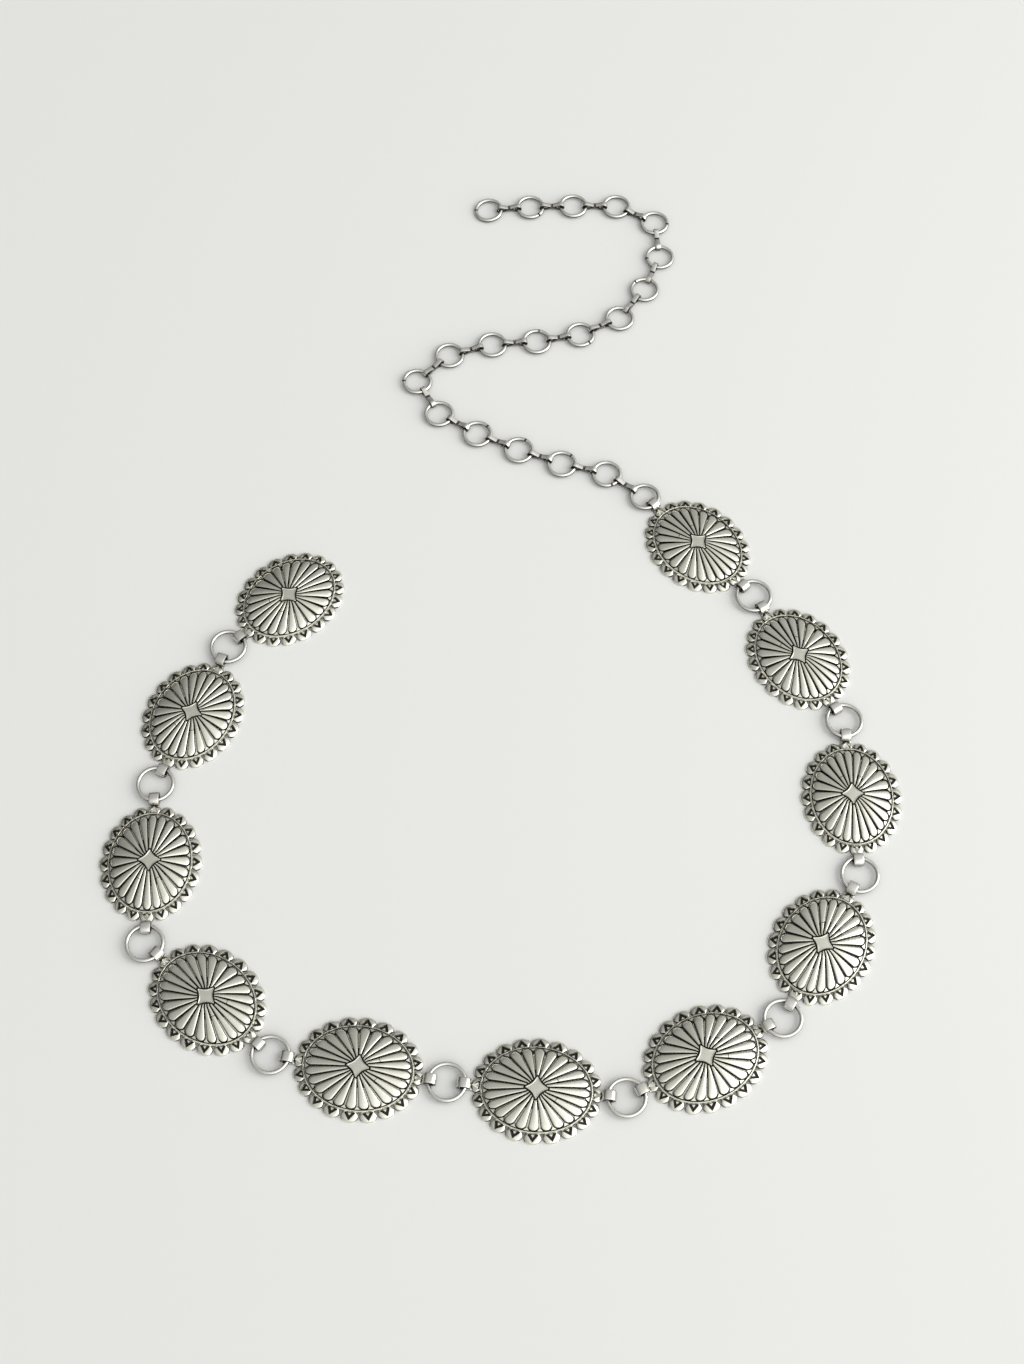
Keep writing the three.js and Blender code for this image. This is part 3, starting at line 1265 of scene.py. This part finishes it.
@dataclass
class WireRing:
    """A ring of round wire, butted at its seam.

    The painted under shade holds the share of a normal at which it starts and at which it is black,
    and the seam patina how far from the seam it is black and at which it ends.
    """

    radius: float
    wire: float
    seam: float = 0.16
    steps: int = 64
    sides: int = 12
    edge: float = 0.1
    sharp: float = 60.0
    # How dark the painted shade on the wire's sides and underside gets.
    darkest: float = 0.9
    painted_under_shade: tuple[float, float] = (-0.7, 0.0)
    seam_patina: tuple[float, float] = (0.15, 0.4)

    def build(self, name: str) -> bpy.types.Object:
        """Turn the wire into a ring whose seam is on +X.

        Args:
            name: The piece's name.

        Returns:
            A closed ring with two butted ends.
        """
        ring = Bench.disc(name, self.sides, self.wire / 2, 0.0)
        gap = self.seam / self.radius
        with Bench.editing(ring):
            bpy.ops.transform.rotate(
                value=math.pi / 2, orient_axis="X", center_override=(0, 0, 0)
            )
            bpy.ops.transform.translate(value=(self.radius, 0, 0))
            bpy.ops.mesh.spin(
                steps=self.steps,
                angle=2 * math.pi - gap,
                center=(0, 0, 0),
                axis=(0, 0, 1),
            )
            Bench.face_out()
        Bench.soften(ring, self.edge, self.sharp)
        note_patina_and_shade(ring, self.shade)
        return ring

    def shade(self, place: Vector, normal: Vector) -> float:
        """Paint shade on the wire's sides and underside, and darken its ends at the seam.

        Args:
            place: A point of the ring.
            normal: Its normal.

        Returns:
            0 for bright and 1 for black.
        """
        # Painted shade on the sides and underside of the wire; the seam is a real dark joint.
        below = self.darkest * smooth_step(*self.painted_under_shade, -normal.z)
        along = abs(math.atan2(place.y, place.x)) * self.radius
        seam = 1 - smooth_step(*self.seam_patina, along)
        return max(below, seam)


@dataclass
class StripLink:
    """A figure-of-eight link of flat strip, pinched where its ends meet."""

    sizes: Sizes
    width: float = 2.0
    pinch: float = 1.3
    seam: float = 0.14
    neck: float = 0.8
    neck_rise: float = 0.1
    wrap: float = 112.0
    edge: float = 0.14
    dark_seam: float = 0.3

    def build(self) -> bpy.types.Object:
        """Bend the link.

        Returns:
            A closed strip with a seam across the middle of its top.
        """
        strip = self.sizes.link_strip
        radius = self.sizes.eye_radius + strip / 2
        reach = self.sizes.link_span / 2
        waist = (self.pinch - strip) / 2
        neck, high = self.neck, waist + self.neck_rise
        path = [(self.seam / 2, waist), (neck, high)]
        path += Strip.arc((reach, 0), radius, self.wrap, -self.wrap, 12)
        path += [(neck, -high), (-neck, -high)]
        path += Strip.arc((-reach, 0), radius, 180 + self.wrap, 180 - self.wrap, 12)
        path += [(-neck, high), (-self.seam / 2, waist)]
        return Strip("link", path, self.width, strip, self.edge, seam=self.dark_seam).build()


@dataclass
class WaistChain:
    """The whole chain: medallions, joining rings and the extender."""

    sizes: Sizes
    route: Route
    cast: bpy.types.Material
    plain: bpy.types.Material
    ring_seams: tuple[float | None, ...] = (
        None, -70, 45, 60, 40, None, 180, None, None, 80, -50, None, 135, 190, -10, None, None,
        -50, 180,
    )
    cast_crease: float = 38.0
    strip_crease: float = 40.0
    ring_crease: float = 50.0

    def finish(self, piece: bpy.types.Object, place: Place, slot: Slot) -> None:
        """Lay a piece in its place and let it ride with the chain.

        Args:
            piece: A piece in millimetres round the origin.
            place: Where it lies.
            slot: Not used.
        """
        piece.data.transform(place.matrix())
        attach(piece, BODY)

    def dress(self, piece: bpy.types.Object, material: bpy.types.Material) -> None:
        """Give a piece one material."""
        piece.data.materials.clear()
        piece.data.materials.append(material)

    def medallions(self) -> None:
        """Cast the medallion once, solder the bails on, and lay a copy in each place."""
        casting = Casting(self.sizes).build()
        self.dress(casting, self.cast)
        Bench.smooth(casting, self.cast_crease)
        bails = {}
        for turned in (False, True):
            bails[turned] = Bail(self.sizes).build(turned)
            self.dress(bails[turned], self.plain)
            Bench.smooth(bails[turned], self.strip_crease)
        hook = Hook().build()
        self.dress(hook, self.plain)
        Bench.smooth(hook, self.strip_crease)
        for i, place in enumerate(self.route.medallions, start=1):
            near_end = hook if i == 1 else bails[True]
            pieces = [Bench.copy(piece, "part") for piece in (casting, bails[False], near_end)]
            medallion = Bench.join(*pieces)
            medallion.name = f"medallion_{i:02d}"
            self.finish(medallion, place, Slot.CAST)
            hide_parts(f"concho_{i:02d}")
            log.info("%s: %d faces", medallion.name, len(medallion.data.polygons))
        for piece in (casting, hook, *bails.values()):
            bpy.data.objects.remove(piece)

    def rings(self) -> None:
        """Lay the joining rings, each with its seam turned under a bail."""
        model = WireRing(self.sizes.joining_radius, self.sizes.wire).build("ring_model")
        self.dress(model, self.plain)
        Bench.smooth(model, self.ring_crease)
        for i, place in enumerate(self.route.joining_rings, start=1):
            ring = Bench.copy(model, f"round_ring_{i:02d}")
            self.finish(ring, Place(place.middle, place.heading + 180), Slot.PLAIN)
            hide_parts(f"joining_ring_{i:02d}")
        bpy.data.objects.remove(model)
        log.info("joining rings: %d", len(self.route.joining_rings))

    def extender(self) -> None:
        """Lay the extender's rings and links, with the seams turned as they lie."""
        wire_ring = WireRing(self.sizes.extender_radius, self.sizes.wire, steps=56)
        model = wire_ring.build("ring_model")
        self.dress(model, self.plain)
        Bench.smooth(model, self.ring_crease)
        last = len(self.route.extender_rings)
        for i, place in enumerate(self.route.extender_rings, start=1):
            ring = Bench.copy(model, f"extender_round_ring_{i:02d}")
            seam = self.ring_seams[i - 1]
            turn = 180 if seam is None else seam - place.heading
            ring.data.transform(Matrix.Rotation(math.radians(turn), 4, "Z"))
            self.finish(ring, place, Slot.PLAIN)
            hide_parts("extender_end_ring" if i == last else "extender_chain")
        bpy.data.objects.remove(model)
        link_model = StripLink(self.sizes).build()
        self.dress(link_model, self.plain)
        Bench.smooth(link_model, self.strip_crease)
        for i, place in enumerate(self.route.links, start=1):
            link = Bench.copy(link_model, f"extender_link_{i:02d}")
            self.finish(link, place, Slot.PLAIN)
            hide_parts("extender_chain")
        bpy.data.objects.remove(link_model)
        log.info("extender rings: %d, links: %d", last, len(self.route.links))

    def build(self) -> None:
        """Make every piece of the chain."""
        self.medallions()
        self.rings()
        self.extender()


@dataclass
class Studio:
    """A pale floor, soft light from the right and the camera over the chain.

    The room's light is rows of a share of the way to its bright side and how bright it is.
    """

    camera_place: tuple[float, float, float] = (0.00315, -0.40286, 0.7254)
    camera_pitch: float = 62.83
    lens: float = 54.2
    film: float = 36.0
    floor_size: float = 60.0
    floor_colour: tuple[float, float, float] = (0.73, 0.737, 0.71)
    floor_roughness: float = 0.85
    lamp_place: tuple[float, float, float] = (1.2, -0.12, 0.74)
    lamp_aim: tuple[float, float, float] = (0.0, -0.02, 0.0)
    lamp_size: tuple[float, float] = (0.9, 1.4)
    lamp_power: float = 9.0
    bright_side: tuple[float, float, float] = (0.75, -0.5, 0.45)
    room_strength: float = 1.06
    room_light: tuple[tuple[float, float], ...] = (
        (0.02, 0.05), (0.22, 0.16), (0.39, 0.4), (0.59, 0.56), (0.72, 0.8), (0.85, 1.3), (0.98, 1.8),
    )

    def camera(self) -> None:
        """Set the camera at the photograph's angle."""
        data = bpy.data.cameras.new("camera")
        data.sensor_fit = "VERTICAL"
        data.sensor_height = self.film
        data.lens = self.lens
        camera = bpy.data.objects.new("camera", data)
        camera.location = self.camera_place
        camera.rotation_euler = (math.radians(90 - self.camera_pitch), 0, 0)
        bpy.context.collection.objects.link(camera)
        bpy.context.scene.camera = camera

    def floor(self) -> None:
        """Lay a plain pale surface."""
        floor = Bench.plate("floor", -self.floor_size / 2, self.floor_size / 2, self.floor_size, 0)
        material = bpy.data.materials.new("pale_floor")
        material.use_nodes = True
        shader = material.node_tree.nodes["Principled BSDF"]
        shader.inputs["Base Color"].default_value = (*self.floor_colour, 1)
        shader.inputs["Roughness"].default_value = self.floor_roughness
        floor.data.materials.append(material)

    def world(self) -> None:
        """Light all round, brighter from the right and the front than from behind."""
        world = bpy.data.worlds.new("soft_room")
        bpy.context.scene.world = world
        world.use_nodes = True
        nodes = world.node_tree.nodes
        links = world.node_tree.links
        background = nodes["Background"]
        direction = nodes.new("ShaderNodeTexCoord").outputs["Generated"]
        side = nodes.new("ShaderNodeVectorMath")
        side.operation = "DOT_PRODUCT"
        side.inputs[1].default_value = Vector(self.bright_side).normalized()
        links.new(direction, side.inputs[0])
        ramp = nodes.new("ShaderNodeValToRGB")
        for position, light in self.room_light:
            stop = ramp.color_ramp.elements.new(position)
            stop.color = (light, light, light, 1)
        ramp.color_ramp.elements.remove(ramp.color_ramp.elements[0])
        ramp.color_ramp.elements.remove(ramp.color_ramp.elements[-1])
        spread = nodes.new("ShaderNodeMapRange")
        spread.inputs["From Min"].default_value = -1.0
        links.new(side.outputs["Value"], spread.inputs["Value"])
        links.new(spread.outputs["Result"], ramp.inputs["Fac"])
        links.new(ramp.outputs["Color"], background.inputs["Color"])
        background.inputs["Strength"].default_value = self.room_strength

    def lamp(self) -> None:
        """Hang one broad soft light on the right, a little towards the camera."""
        data = bpy.data.lights.new("window", "AREA")
        data.shape = "RECTANGLE"
        data.size, data.size_y = self.lamp_size
        data.energy = self.lamp_power
        lamp = bpy.data.objects.new("window", data)
        lamp.location = self.lamp_place
        aim = Vector(self.lamp_aim) - lamp.location
        lamp.rotation_euler = aim.to_track_quat("-Z", "Y").to_euler()
        bpy.context.collection.objects.link(lamp)

    def build(self) -> None:
        """Set up the floor, the light and the camera."""
        self.camera()
        self.floor()
        self.world()
        self.lamp()
        bpy.context.scene.view_settings.view_transform = "Standard"


def main() -> None:
    """Load the frame, dress the chain and light it."""
    logging.basicConfig(level=logging.INFO, format="%(message)s")
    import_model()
    sizes = Sizes()
    cast = Silver(
        name="antique_silver",
        bright=(0.83, 0.82, 0.71),
        dark=(0.006, 0.0055, 0.005),
        roughness=0.26,
        grain=0.5,
        tarnish=0.35,
    )
    plain = Silver(
        name="plain_silver",
        bright=(0.80, 0.79, 0.73),
        dark=(0.03, 0.026, 0.02),
        roughness=0.17,
        grain=0.3,
        tarnish=0.4,
    )
    WaistChain(sizes, Route(sizes), cast.material(), plain.material()).build()
    Studio().build()


if __name__ == "__main__":
    main()
